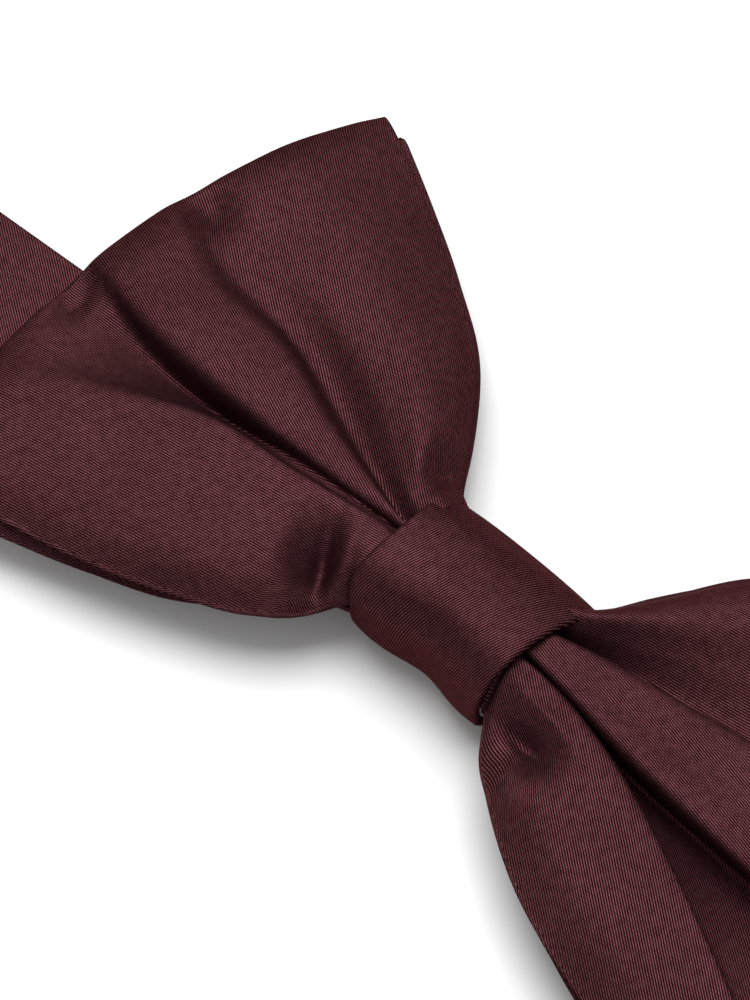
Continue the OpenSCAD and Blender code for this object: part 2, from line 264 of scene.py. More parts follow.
def satin_material(name, deep, bright, pitch):
    """Dark wine satin: deep wine between the ribs and rosy brown on them, with slow uneven shade. It
    reflects in its own colour, and is a little smoother on the ribs."""
    material, nodes, links, shader = new_material(name)
    uv = nodes.new("ShaderNodeUVMap")
    uv.uv_map = "Weave"
    ribs = nodes.new("ShaderNodeGroup")
    ribs.node_tree = satin_weave_group()
    ribs.inputs["Thread pitch"].default_value = pitch
    links.new(uv.outputs[0], ribs.inputs["Threads"])
    place = nodes.new("ShaderNodeTexCoord")
    shade = noise(nodes, links, place.outputs["Object"], 90.0, detail=4.0)
    yarn = colour_mix(nodes, links, ribs.outputs["Rib"], deep, bright)
    shaded = nodes.new("ShaderNodeMix")
    shaded.data_type = "RGBA"
    shaded.blend_type = "MULTIPLY"
    shaded.inputs["Factor"].default_value = 1.0
    links.new(yarn, shaded.inputs["A"])
    tone = value_range(nodes, links, shade, 0.72, 1.28)
    grey = nodes.new("ShaderNodeCombineColor")
    for channel in grey.inputs:
        links.new(tone, channel)
    links.new(grey.outputs[0], shaded.inputs["B"])
    links.new(shaded.outputs["Result"], shader.inputs["Base Color"])
    links.new(value_range(nodes, links, ribs.outputs["Rib"], 0.62, 0.52), shader.inputs["Roughness"])
    raise_surface(nodes, links, shader, ribs.outputs["Lift"], 0.6, 0.06)
    shader.inputs["Metallic"].default_value = 0.85
    shader.inputs["Specular IOR Level"].default_value = 0.04
    shader.inputs["Specular Tint"].default_value = (0.50, 0.34, 0.34, 1.0)
    return material


def woven_material(name, dark, light, pitch, roughness):
    """Plain woven cloth, such as canvas: a checker of crossing threads on object coordinates."""
    material, nodes, links, shader = new_material(name)
    place = nodes.new("ShaderNodeTexCoord")
    split = nodes.new("ShaderNodeSeparateXYZ")
    links.new(place.outputs["Object"], split.inputs[0])
    turn = math.pi / (pitch * MM)
    angles = [math_node(nodes, links, "MULTIPLY", split.outputs[axis], turn) for axis in ("X", "Y")]
    cross = math_node(nodes, links, "MULTIPLY", *[math_node(nodes, links, "SINE", a) for a in angles])
    cover = math_node(nodes, links, "ADD", math_node(nodes, links, "MULTIPLY", cross, 0.5), 0.5)
    links.new(colour_mix(nodes, links, cover, dark, light), shader.inputs["Base Color"])
    raise_surface(nodes, links, shader, cover, 1.0, 0.1)
    shader.inputs["Roughness"].default_value = roughness
    return material


def nickel_material():
    """Bright nickel plate with faint brushing and soft cloudy wear."""
    material, nodes, links, shader = new_material("nickel plate")
    place = nodes.new("ShaderNodeTexCoord")
    stretch = nodes.new("ShaderNodeMapping")
    stretch.inputs["Scale"].default_value = (300, 4000, 300)
    links.new(place.outputs["Object"], stretch.inputs["Vector"])
    brushing = noise(nodes, links, stretch.outputs[0], 1.0, detail=3.0)
    cloud = noise(nodes, links, place.outputs["Object"], 260.0)
    plate = colour_mix(nodes, links, cloud, (0.50, 0.49, 0.47), (0.78, 0.77, 0.75))
    links.new(plate, shader.inputs["Base Color"])
    links.new(value_range(nodes, links, brushing, 0.16, 0.36), shader.inputs["Roughness"])
    raise_surface(nodes, links, shader, brushing, 0.25, 0.02)
    shader.inputs["Metallic"].default_value = 1.0
    return material


DEEP_WINE, ROSY_BROWN = (0.0090, 0.0008, 0.0016), (0.138, 0.0490, 0.0550)
CANVAS_SHADE, CANVAS_LIGHT = (0.42, 0.38, 0.31), (0.74, 0.70, 0.62)
THREAD_SHADE, THREAD_LIGHT = (0.045, 0.010, 0.013), (0.13, 0.045, 0.05)
SATIN = satin_material("wine satin", DEEP_WINE, ROSY_BROWN, pitch=0.40)
CANVAS = woven_material("interlining canvas", CANVAS_SHADE, CANVAS_LIGHT, pitch=0.5, roughness=0.85)
THREAD = woven_material("wine thread", THREAD_SHADE, THREAD_LIGHT, pitch=0.16, roughness=0.6)
NICKEL = nickel_material()


def finish_piece(piece, material):
    """Gives a piece its material."""
    piece.data.materials.clear()
    piece.data.materials.append(material)
    return piece


# ---- wings -----------------------------------------------------------

# How far along its line each column of the tables stands, from the knot to the wing's end
STATIONS = (0.0, 0.06, 0.14, 0.3, 0.55, 0.78, 1.0)

# Fold lines of a front wing from its top edge to its bottom edge. Each has its place across the wing
# at the seven stations, then its height above the table there.
LEFT_FOLDS = (
    # top edge
    ((7.6, 9.0, 13.4, 21.0, 27.0, 31.5, 35.4), (10.6, 10.2, 9.8, 9.3, 9.0, 8.9, 8.8)),
    ((6.8, 8.2, 11.9, 18.6, 24.2, 28.1, 31.5), (11.6, 11.6, 11.8, 11.4, 10.8, 10.5, 10.2)),
    # crown of the upper panel
    ((4.8, 5.6, 7.8, 13.2, 18.0, 21.1, 23.5), (13.6, 13.8, 14.0, 13.6, 12.9, 12.2, 11.6)),
    ((2.4, 3.0, 4.8, 8.8, 12.6, 14.2, 16.2), (12.9, 13.0, 12.9, 12.6, 12.2, 11.6, 11.0)),
    # first valley
    ((0.7, 1.0, 1.9, 4.2, 7.3, 7.8, 10.6), (10.8, 11.4, 11.2, 10.2, 10.3, 10.6, 10.9)),
    # right crest of the middle pleat
    ((0.2, 0.3, 0.7, 1.9, 4.3, 3.8, 6.4), (13.7, 13.8, 13.9, 13.8, 13.3, 12.7, 11.5)),
    # its left crest
    ((-0.3, -0.6, -1.2, -2.3, -3.9, -4.2, -2.2), (13.5, 13.6, 13.7, 13.7, 13.3, 12.6, 11.2)),
    # second valley, deepest under the pleat
    ((-0.5, -0.8, -1.5, -2.9, -5.0, -6.4, -6.0), (12.4, 12.6, 12.6, 11.8, 8.6, 8.8, 10.0)),
    ((-0.9, -1.2, -2.0, -3.7, -6.5, -11.4, -15.8), (12.4, 12.8, 12.8, 11.9, 10.2, 10.9, 11.0)),
    # crest of the lower panel
    ((-1.5, -2.0, -2.8, -4.6, -7.4, -14.6, -22.4), (13.3, 13.3, 13.3, 13.1, 12.9, 12.8, 11.9)),
    ((-3.8, -4.9, -6.8, -9.6, -13.2, -19.8, -26.4), (13.4, 13.3, 13.1, 12.9, 12.7, 12.3, 11.3)),
    ((-5.8, -8.0, -11.0, -14.8, -19.6, -24.6, -29.4), (12.6, 12.2, 12.3, 12.3, 11.9, 11.4, 10.6)),
    ((-7.4, -11.6, -15.2, -19.8, -25.2, -29.2, -32.4), (10.8, 10.6, 10.8, 10.8, 10.4, 10.1, 9.8)),
    # bottom edge
    ((-8.4, -14.0, -18.0, -22.7, -28.2, -31.8, -34.8), (9.4, 9.0, 8.9, 8.8, 8.7, 8.6, 8.6)),
)
RIGHT_FOLDS = (
    # top edge
    ((6.8, 7.4, 11.5, 20.6, 27.2, 31.4, 34.8), (10.2, 10.0, 9.6, 9.2, 9.0, 8.9, 8.8)),
    ((6.0, 6.7, 10.0, 18.0, 24.4, 28.3, 31.4), (11.6, 11.8, 11.9, 11.5, 11.0, 10.7, 10.4)),
    # crown of the upper panel
    ((4.4, 5.1, 7.3, 12.6, 18.4, 21.6, 24.0), (13.5, 13.7, 13.6, 13.1, 12.6, 12.0, 11.6)),
    ((2.8, 3.6, 5.2, 8.6, 12.4, 14.6, 16.2), (12.7, 12.6, 12.0, 11.4, 11.0, 10.8, 10.5)),
    # upper valley
    ((1.4, 2.0, 2.8, 3.9, 5.2, 6.3, 7.4), (10.4, 10.0, 9.7, 9.2, 9.1, 9.2, 9.5)),
    # upper edge of the middle pleat
    ((1.1, 1.6, 2.2, 2.9, 3.8, 4.7, 5.5), (13.4, 13.3, 13.2, 13.0, 12.7, 12.3, 11.9)),
    ((-0.6, -0.7, -1.0, -1.8, -2.4, -2.9, -3.4), (13.7, 13.8, 13.9, 14.0, 13.8, 13.4, 12.8)),
    # its lower edge
    ((-2.2, -2.8, -3.7, -5.7, -7.9, -9.8, -11.6), (13.4, 13.5, 13.8, 14.3, 14.2, 13.8, 12.8)),
    # lower valley, deepest under the pleat
    ((-2.1, -2.6, -3.4, -5.4, -7.8, -9.9, -11.8), (10.3, 9.6, 9.0, 8.4, 8.4, 8.4, 8.5)),
    ((-2.9, -3.3, -4.1, -6.8, -12.4, -18.4, -24.0), (10.3, 9.6, 9.6, 10.2, 11.3, 11.4, 10.8)),
    # crest of the lower panel
    ((-2.9, -3.2, -3.9, -6.5, -12.8, -19.4, -26.0), (13.2, 13.1, 12.9, 12.8, 12.8, 12.5, 11.8)),
    ((-4.7, -5.6, -7.6, -11.8, -18.0, -23.6, -28.9), (13.4, 13.2, 13.0, 12.9, 12.5, 11.9, 11.0)),
    ((-6.8, -9.4, -12.4, -17.2, -23.4, -28.2, -32.2), (12.2, 11.4, 11.8, 11.8, 11.3, 10.8, 10.2)),
    # bottom edge
    ((-8.6, -13.4, -17.0, -22.8, -28.6, -32.1, -34.8), (9.4, 9.0, 8.9, 8.8, 8.7, 8.6, 8.6)),
)
# Dents pressed into a wing: place along and across, length, width, turn in degrees, and depth
LEFT_DENTS = (
    (13.9, -9.0, 3.8, 1.3, 54, 2.3),
    (15.2, -10.0, 4.2, 2.4, 54, 2.2),
    (11.8, -7.6, 3.4, 1.1, 54, -0.7),
    (57.0, 11.6, 3.4, 2.6, 15, 1.9),
    (59.4, -7.2, 3.6, 2.2, 60, 2.0),
    (13.4, 8.2, 3.2, 1.5, 68, 2.2),
    (32.0, 8.4, 9.0, 2.2, 14, 0.5),
    (30.0, -16.0, 9.0, 3.5, -18, 0.35),
)
RIGHT_DENTS = (
    (15.0, -9.8, 3.6, 1.3, -10, 2.1),
    (16.0, -11.4, 4.2, 2.6, -8, 2.2),
    (16.4, -7.5, 3.8, 1.0, -16, -0.8),
    (34.0, 17.0, 7.0, 3.0, 30, 0.7),
    (30.0, -16.5, 6.0, 3.0, -30, 0.4),
)
# Direction of the ribs on each panel, in degrees from the line of the wing towards its top edge, and the
# places between which the panel lies, counted in fold lines from the top edge
LEFT_PANELS = ((31.0, 0, 4.4), (16.0, 4.4, 6.6), (-16.0, 6.6, 13))
RIGHT_PANELS = ((6.7, 0, 4.4), (-17.7, 4.4, 7.6), (-43.5, 7.6, 13))
FRONT_SHAPES = {-1: (LEFT_FOLDS, LEFT_DENTS, LEFT_PANELS), 1: (RIGHT_FOLDS, RIGHT_DENTS, RIGHT_PANELS)}
BACK_RIBS = -10                   # direction of the ribs on the wings' backs and on the back bow
ROOT_RIBS = 20                    # and inside the knot

# The back bow's half height and its swell at the stations, and the place across it (a share of that half
# height) and the rise of each of its fold lines
BACK_HALF = (7.4, 9.4, 13.8, 21.2, 27.6, 32.1, 36.0)
BACK_SWELL = (1.15, 1.1, 1.0, 1.0, 1.0, 1.0, 0.95)
BACK_FOLDS = ((1, 0.35), (0.93, 0.8), (0.62, 1.0), (0.3, 0.95), (0.12, 0.7), (0.0, 0.9),
              (-0.12, 0.65), (-0.3, 0.95), (-0.62, 1.0), (-0.93, 0.8), (-1, 0.35))

BACK_FACE_SHARE = 0.985           # height of a wing's back face as a share of its front face's
LEAST_DEPTH = 0.6                 # least depth between the two
ROLL_OUT = 0.55                   # how far the rolled layers stand out along a wing's sides


def place_wing(points, side):
    """Turns wing coordinates (along, across, height) into the bow's frame on its side of the knot."""
    along, across, height = points[..., 0], points[..., 1], points[..., 2]
    x = along * math.cos(WING_LIFT) - across * math.sin(WING_LIFT)
    y = along * math.sin(WING_LIFT) + across * math.cos(WING_LIFT)
    return np.stack([side * x, y, height], -1)


def dent(points, along, across, length, width, turn, depth):
    """Presses a smooth bell-shaped hollow into a face, longest along its turned axis."""
    c, s = math.cos(math.radians(turn)), math.sin(math.radians(turn))
    u, v = points[..., 0] - along, points[..., 1] - across
    bell = np.exp(-((u * c + v * s) / length) ** 2 - ((v * c - u * s) / width) ** 2)
    points[..., 2] -= depth * bell


def fold_face(folds, reach, inset, rows, per_fold):
    """Face of a wing through its fold lines: places and heights are smooth along each line, and smooth
    from line to line, where the lines are spaced by the square roots of their distances a third of the
    way out. Returns points (rows, columns, 3) and each column's fold number."""
    s = np.linspace(0, 1, rows)
    across = smooth_through(STATIONS, np.array([f[0] for f in folds]).T, s)
    height = smooth_through(STATIONS, np.array([f[1] for f in folds]).T, s)
    end_across = across[-1]
    end_along = reach - inset * (end_across / CORNER) ** 2
    along = KNOT_EDGE + (end_along - KNOT_EDGE)[None] * s[:, None]
    lines = np.stack([along, across, height], -1).transpose(1, 0, 2)
    gaps = np.linalg.norm(np.diff(lines[:, rows // 3], axis=0), axis=1)
    knots = np.concatenate([[0], np.cumsum(np.sqrt(gaps))])
    number = np.concatenate([np.linspace(k, k + 1, per_fold, endpoint=False)
                             for k in range(len(folds) - 1)] + [[len(folds) - 1.0]])
    t = np.interp(number, np.arange(len(folds)), knots)
    face = smooth_through(knots, lines, t).transpose(1, 0, 2)
    return face, number


def wing_shell(folds, dents, reach, inset, back_z, rows=150, per_fold=16, end_roll=0.10, side_cols=9):
    """Closed shell of a wing: its front face through the fold lines, a flat back face under it, two
    rolled layers with a groove between them along each side, and a round fold at the end, over the last
    end_roll of its length. Returns points, each column's fold number, and 1 for columns off the face."""
    front, number = fold_face(folds, reach, inset, rows, per_fold)
    for each in dents:
        dent(front, *each)
    back = front.copy()
    back[..., 1] *= BACK_FACE_SHARE
    back[..., 2] = back_z
    front[..., 2] = np.maximum(front[..., 2], back_z + LEAST_DEPTH)
    s = np.linspace(0, 1, rows)
    closing = np.sqrt(np.clip(1 - (np.clip(s - (1 - end_roll), 0, None) / end_roll) ** 2, 0, 1))
    middle = (front[..., 2] + back[..., 2]) / 2
    for face in (front, back):
        face[..., 2] = middle + (face[..., 2] - middle) * closing[:, None]

    def side_roll(column, outward):
        """Two small rolls, one above the other, from the front edge to the back edge."""
        t = np.linspace(0, 1, side_cols + 2)[1:-1][None, :, None]
        edge = front[:, column][:, None] * (1 - t) + back[:, column][:, None] * t
        edge[..., 1] += outward * ROLL_OUT * np.abs(np.sin(2 * math.pi * t[..., 0])) * closing[:, None]
        return edge

    bottom, top = side_roll(-1, -1), side_roll(0, 1)
    ring = np.concatenate([front, bottom, back[:, ::-1], top[:, ::-1]], axis=1)
    numbers = np.concatenate([number, np.full(side_cols, number[-1]), number[::-1], np.zeros(side_cols)])
    on_back = np.ones(len(numbers))
    on_back[:len(number)] = 0
    return ring, numbers, on_back


def panel_charts(ring, numbers, on_back, panels, back_angle):
    """Thread places of a wing in its own coordinates: along it, and round it by length over the cloth,
    counted from each panel's middle, so that ribs keep their spacing on steep folds. Each panel has its
    own rib direction, and the panels meet in the folds. The sides and the back have one more."""
    rows = len(ring)
    step = np.linalg.norm(np.diff(ring[..., 1:], axis=1), axis=-1)
    length = np.concatenate([np.zeros((rows, 1)), np.cumsum(step, axis=1)], axis=1)
    charts, chart_of = [], np.full(len(numbers), len(panels))
    for number, (angle, first, last) in enumerate(panels):
        middle = int(np.argmin(np.abs(numbers - (first + last) / 2) + 1000 * on_back))
        across = ring[:, middle, 1:2] - (length - length[:, middle:middle + 1])
        charts.append(thread_places(ring[..., 0], across, angle))
        chart_of[(numbers >= first) & (numbers < last) & (on_back == 0)] = number
    middle = int(np.argmin(np.abs(numbers - numbers.max() / 2) - 1000 * on_back))
    closing = np.linalg.norm(ring[:, -1, 1:] - ring[:, 0, 1:], axis=-1)
    length[:, 0] = length[:, -1] + closing
    across = ring[:, middle, 1:2] + (length - length[:, middle:middle + 1])
    charts.append(thread_places(ring[..., 0], across, back_angle))
    return np.stack(charts), chart_of


def make_wing(layer, side, shell, panels):
    """Mesh of a wing from its shell. Its root ring is kept for the gathers inside the knot."""
    ring, numbers, on_back = shell
    placed = place_wing(ring, side)
    charts, chart_of = panel_charts(ring, numbers, on_back, panels, BACK_RIBS)
    roots[layer, side] = placed[0], thread_places(placed[0, :, 0], placed[0, :, 1], ROOT_RIBS)
    name = SIDE_NAME[side]
    piece = cloth_mesh(f"{layer}_bow_{name}", placed, charts, chart_of, wrap_cols=True, weld=WELD)
    close_open_ring(piece)
    finish_piece(piece, SATIN)
    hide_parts(f"{layer}_wing_{name}")
    blend_wing(piece)
    return piece


def front_wing(side):
    """The front bow: a pleated, dented wing whose folds differ on the two sides."""
    folds, dents, panels = FRONT_SHAPES[side]
    shell = wing_shell(folds, dents, END_REACH, CORNER_INSET, FRONT_BACK_Z)
    piece = make_wing("front", side, shell, panels)


def close_open_ring(piece):
    """Closes the open ring inside the knot with one face, so that the shell has no hole."""
    work = bmesh.new()
    work.from_mesh(piece.data)
    edges = [e for e in work.edges if e.is_boundary]
    if edges:
        bmesh.ops.holes_fill(work, edges=edges, sides=0)
        bmesh.ops.triangulate(work, faces=[f for f in work.faces if len(f.verts) > 4])
        bmesh.ops.recalc_face_normals(work, faces=work.faces)
    work.to_mesh(piece.data)
    work.free()


def blend_wing(piece):
    """Bakes a wing piece's transform into its mesh."""
    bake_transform(piece)


def back_wing(side):
    """The back bow: a plainer, thinner wing behind the front one, with two shallow folds."""
    low, high = BACK_BACK_Z, FRONT_BACK_Z - 0.25
    folds = [([share * half for half in BACK_HALF],
              [low + (high - low) * rise * swell for swell in BACK_SWELL]) for share, rise in BACK_FOLDS]
    shell = wing_shell(folds, (), BACK_REACH, BACK_INSET, low, rows=90, per_fold=8, end_roll=0.04)
    piece = make_wing("back", side, shell, ((BACK_RIBS, 0, len(folds) - 1),))


def wing_lining(layer, side, low, reach, inset):
    """Canvas inside a wing: a thin flat leaf that stops short of the wing's edges all round and thins to
    nothing at its own edge."""
    name = SIDE_NAME[side]
    margin, root, thick = 2.0, 14.6, 0.3
    s, v = np.linspace(0, 1, 60)[:, None], np.linspace(-1, 1, 41)[None]
    places, halves = (12, 16, 22, 34, 60), (7.5, 12.0, 17.5, 24.5, 33.0)
    wing_half = np.interp(root + (reach - root) * s, places, halves)
    along = root + (reach - inset * v**2 - margin - root) * s
    across = (wing_half - margin) * v
    edge = np.clip(np.minimum(1 - np.abs(v), np.minimum(s, 1 - s)) / 0.02, 0, 1)
    height = thick / 2 * np.sqrt(edge * (2 - edge))
    upper = np.stack([along, across, low + thick / 2 + height], -1)
    lower = np.stack([along, across, low + thick / 2 - height], -1)
    ring = place_wing(np.concatenate([upper, lower[:, -2:0:-1]], axis=1), side)
    piece = cloth_mesh(f"{layer}_bow_canvas_{name}", ring, ring[..., :2], wrap_cols=True, weld=WELD)
    close_open_ring(piece)
    finish_piece(piece, CANVAS)
    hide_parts(f"{layer}_interlining_{name}")
    blend_wing(piece)


FRONT_BACK_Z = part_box("front_wing_left")[0].z / MM
BACK_BACK_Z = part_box("back_wing_left")[0].z / MM
LINING_RISE = 0.2                 # the canvas lies this far above a wing's back
roots = {}

for wing_side in (-1, 1):
    front_wing(wing_side)
    back_wing(wing_side)
    wing_lining("front", wing_side, FRONT_BACK_Z + LINING_RISE, END_REACH, CORNER_INSET)
    wing_lining("back", wing_side, BACK_BACK_Z + LINING_RISE, BACK_REACH, BACK_INSET)


# ---- knot ------------------------------------------------------------

KNOT_LOW, KNOT_HIGH = (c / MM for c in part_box("knot_band"))
KNOT_HALF = (KNOT_HIGH[1] - KNOT_LOW[1]) / 2
KNOT_MIDDLE = (KNOT_LOW[2] + KNOT_HIGH[2]) / 2
KNOT_TALL = (KNOT_HIGH[2] - KNOT_LOW[2]) / 2
KNOT_RIBS = 104.5                 # direction of the ribs on the knot's face
SEAM_PLACE = 3.1                  # the knot's lap seam runs along its back, this far up the bow
FACE_FALL, FACE_SHIFT = 2.1, 0.7  # how far the knot's face falls and leans out at its top edge


def knot_section(angle, half, tall, power=2 / 2.7):
    """Rounded rectangle round the knot in Y and Z, as a superellipse. The angle runs from 0 to 1: 0 is
    the side at the bow's top edge, a quarter the knot's face, a half its lower side, and three quarters
    its back."""
    c, s = np.cos(2 * math.pi * angle), np.sin(2 * math.pi * angle)
    return half * np.sign(c) * np.abs(c) ** power, KNOT_MIDDLE + tall * np.sign(s) * np.abs(s) ** power


def wrap_band(edge, wall, turn_in, outer_count, around):
    """Profile of a cloth band wrapped round the knot, from one edge to the other: places along the bow
    and depths below the skin, rolled over at both edges and turned in by turn_in. The points crowd
    towards the edges as a sine does towards its peaks. The last value is the angles round the knot."""
    bend = np.linspace(0, math.pi, 11)[1:-1]
    roll, crowd = wall / 2, 1.35
    outer = edge * np.sin(np.linspace(-crowd, crowd, outer_count)) / math.sin(crowd)
    inner = np.linspace(edge, edge - turn_in, 7)
    turned = roll * np.sin(bend)
    x = np.concatenate([outer, edge + turned, inner, -inner[::-1], -edge - turned])
    depth = np.concatenate([np.zeros(outer_count), roll * (1 - np.cos(bend)), np.full(14, wall),
                            roll * (1 + np.cos(bend))])
    return x[:, None], depth[:, None], np.linspace(-0.25, 0.75, around, endpoint=False)[None]


def knot_band():
    """The wrapped knot: a rounded band drawn in a little towards its edges and at the middle of its
    lower side, with soft waves round it and a lap seam along its back. Its right edge slants: it
    reaches further out at the top of the bow than at the bottom."""
    x, depth, angle = wrap_band(KNOT_HIGH[0] - 0.55, 1.1, 2.6, 90, 300)
    share = x / KNOT_HIGH[0]
    y, z = knot_section(angle, KNOT_HALF, KNOT_TALL)
    face = smooth_step(z, KNOT_MIDDLE, KNOT_MIDDLE + 5)
    upper, lower = smooth_step(y, -1, KNOT_HALF), smooth_step(-y, -1, KNOT_HALF)
    right = np.clip(share, 0, 1) * (1.7 * upper - 0.8 * lower + 0.3 * face)
    left = np.clip(-share, 0, 1) * (0.55 * face * lower + 0.35 * face)
    draw_in = 0.035 * np.abs(share) ** 3 + 0.03 * np.clip(-share, 0, 1) ** 3
    waist = 0.14 * lower * np.exp(-((x - 0.5) / 4.8) ** 2)
    wave = 0.14 * np.sin(2 * math.pi * (angle * 7 + 0.02 * x)) * np.exp(-((x + 2) / 7) ** 2)
    wave = wave + 0.09 * np.sin(2 * math.pi * (angle * 4 - 0.045 * x + 0.3))
    size = 1 - draw_in + (wave - 0.22) / 9 * face - depth / 8.8
    points = np.stack([x + right - left, y * (size - waist), KNOT_MIDDLE + (z - KNOT_MIDDLE) * size], -1)
    seam = np.exp(-((points[..., 1] - SEAM_PLACE) / 0.9) ** 4) * smooth_step(-z, -KNOT_MIDDLE, -1.0)
    slope_face(points, y, z)
    points[..., 2] = np.maximum(points[..., 2], KNOT_LOW[2]) + 0.3 * seam
    around = arc_length(np.stack([y[0], z[0]], -1))
    charts = thread_places(x + 0 * angle, around + 0 * x, KNOT_RIBS)
    piece = cloth_mesh("knot_wrap", points, charts, wrap_cols=True, wrap_rows=True)
    finish_piece(piece, SATIN)
    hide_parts("knot_band")
    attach(piece, "centre")


def slope_face(points, y, z):
    """Lets the knot's face fall away towards the top edge of the bow."""
    slope = smooth_step(z, KNOT_MIDDLE, KNOT_MIDDLE + 5) * smooth_step(y, -3, 1.35 * KNOT_HALF)
    points[..., 2] -= FACE_FALL * slope
    points[..., 1] += FACE_SHIFT * slope


def knot_canvas():
    """Interlining of the knot: a plain band of canvas under the satin."""
    x, depth, angle = wrap_band(8.6, 0.5, 0.6, 30, 120)
    y, z = knot_section(angle, KNOT_HALF - 1.35, KNOT_TALL - 1.35)
    size = 1 - depth / 8.0 + 0 * angle
    waist = 0.17 * smooth_step(-y, -1, KNOT_HALF) * np.exp(-((x - 0.5) / 4.8) ** 2)
    points = np.stack([x + 0 * size, y * (size - waist), KNOT_MIDDLE + (z - KNOT_MIDDLE) * size], -1)
    slope_face(points, y, z)
    piece = cloth_mesh("knot_canvas", points, points[..., :2], wrap_cols=True, wrap_rows=True)
    finish_piece(piece, CANVAS)
    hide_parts("knot_interlining")
    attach(piece, "centre")


def gathers(layer, low):
    """The pleats of a bow where they pass through the knot: the ring of the left wing's root changes
    evenly into that of the right wing's, drawn together at the middle."""
    left, left_weave = roots[layer, -1]
    right, right_weave = roots[layer, 1]
    t = np.linspace(0, 1, 26)[:, None, None]
    ring = left * (1 - t) + right * t
    pinch = 1 - 0.16 * np.sin(math.pi * t[..., 0]) ** 0.7
    ring[..., 0] *= 0.98
    ring[..., 1] *= pinch
    ring[..., 2] = low + (ring[..., 2] - low) * (0.94 + 0.06 * pinch)
    weave = left_weave * (1 - t) + right_weave * t
    piece = cloth_mesh(f"{layer}_bow_pleats", ring, weave, wrap_cols=True, cap_rows=True, weld=WELD)
    finish_piece(piece, SATIN)
    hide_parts(f"{layer}_bow_gather")
    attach(piece, "centre")


def thread(name, path, radius, sides):
    """Sewing thread along a path of points: a ring of the given radius stands square to the path at
    each point."""
    tangent = np.gradient(path, axis=0)
    tangent /= np.linalg.norm(tangent, axis=1)[:, None]
    helper = np.tile([0.83, 0.21, 0.52], (len(path), 1))
    first = np.cross(tangent, helper)
    first /= np.linalg.norm(first, axis=1)[:, None]
    second = np.cross(tangent, first)
    a = np.linspace(0, 2 * math.pi, sides, endpoint=False)
    c, s = np.cos(a)[None, :, None], np.sin(a)[None, :, None]
    points = path[:, None] + radius * (c * first[:, None] + s * second[:, None])
    weave = np.stack(np.broadcast_arrays(np.arange(len(path))[:, None] * radius, a[None] * radius), -1)
    piece = cloth_mesh(name, points, weave, wrap_cols=True, cap_rows=True)
    return finish_piece(piece, THREAD)


def gather_winding():
    """Thread wound five times round the gathered bow, under the knot."""
    turns = np.linspace(0, 5, 5 * 60)
    c, s = np.cos(2 * math.pi * turns), np.sin(2 * math.pi * turns)
    y = 7.25 * np.sign(c) * np.abs(c) ** 0.7
    z = 9.55 + 4.45 * np.sign(s) * np.abs(s) ** 0.7
    piece = thread("gather_winding", np.stack([-1.5 + 0.6 * turns, y, z], -1), radius=0.22, sides=8)
    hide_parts("gather_thread")
    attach(piece, "centre")


STITCH_LENGTH = 1.7


def stitches(name, places, turn, thick, body, node):
    """A row of short stitches: each is a long round grain whose ends dip into the cloth."""
    u, v = np.linspace(0, math.pi, 7), np.linspace(0, 2 * math.pi, 8, endpoint=False)
    girth = np.sin(u)[:, None] ** 0.6
    grain = np.stack(np.broadcast_arrays(-np.cos(u)[:, None] * STITCH_LENGTH / 2,
                                         girth * np.cos(v) * thick / 2, girth * np.sin(v) * thick / 2), -1)
    c, s = math.cos(turn), math.sin(turn)
    grain = np.stack([grain[..., 0] * c - grain[..., 1] * s, grain[..., 0] * s + grain[..., 1] * c,
                      grain[..., 2]], -1)
    made = [cloth_mesh(f"{name}_{number}", grain + place, grain[..., :2], wrap_cols=True, weld=WELD / 4)
            for number, place in enumerate(places)]
    piece = finish_piece(join(name, made), THREAD)
    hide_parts(node)
    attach(piece, body)


knot_band()
knot_canvas()
gathers("front", FRONT_BACK_Z)
gathers("back", BACK_BACK_Z)
gather_winding()
seam_places = [(x, SEAM_PLACE, 0.27) for x in np.linspace(-8.5, 8.5, 9)]
stitches("knot_seam_stitching", seam_places, math.radians(120), 0.34, "centre", "knot_seam_stitches")


# ---- neck band -------------------------------------------------------

BAND_WIDTH, BAND_THICK = 16.0, 1.0
KNOT_PINCH = 3.2                              # the band is this much narrower inside the knot
BAND_SEAM = 0.25                              # depth of the groove along its seam
BAND_RIBS = 38.0                              # direction of the ribs on the band
FOLD_REACH = 110.0                            # where the band folds back, from the middle
RUN_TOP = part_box("neck_band_left")[0].z / MM  # underside of the upper run
HINGE_REACH = 18.8                            # where the band bends as it leaves the knot
BAND_BEND = ((14.5, 0, 4.0), (23.0, 0, 4.0))  # the stretch over which it bends there
UPPER_Z = RUN_TOP + BAND_THICK / 2            # middles of the two runs and of the fold
LOWER_Z = BAND_THICK / 2
FOLD_Z = (RUN_TOP + BAND_THICK) / 2
FOLD_RADIUS = FOLD_Z - BAND_THICK / 2
BAND_STEP = 0.8                               # length of a quad along the band


def band_place(along, across, height, side):
    """Turns band coordinates into the bow's frame: mirrored to its side, then turned with the band."""
    x = side * along
    return np.stack([x * math.cos(BAND_TURN) - across * math.sin(BAND_TURN),
                     x * math.sin(BAND_TURN) + across * math.cos(BAND_TURN), height], -1)


def polyline(points, bend, spacing):
    """Evenly spaced points along a route in (along, height), whose corners are rounded by taking the
    running mean over the length bend."""
    points = np.array(points, float)
    length = arc_length(points)
    t = np.linspace(0, length[-1], max(8, int(length[-1] / spacing)))
    total = np.zeros((len(t), 2))
    offsets = np.linspace(-0.5, 0.5, 9) * bend
    near_end = np.minimum(1, np.minimum(t, length[-1] - t) / (0.5 * bend + 1e-9))
    for offset in offsets:
        at = t + offset * near_end
        total += np.stack([np.interp(at, length, points[:, k]) for k in (0, 1)], -1)
    return total / len(offsets)


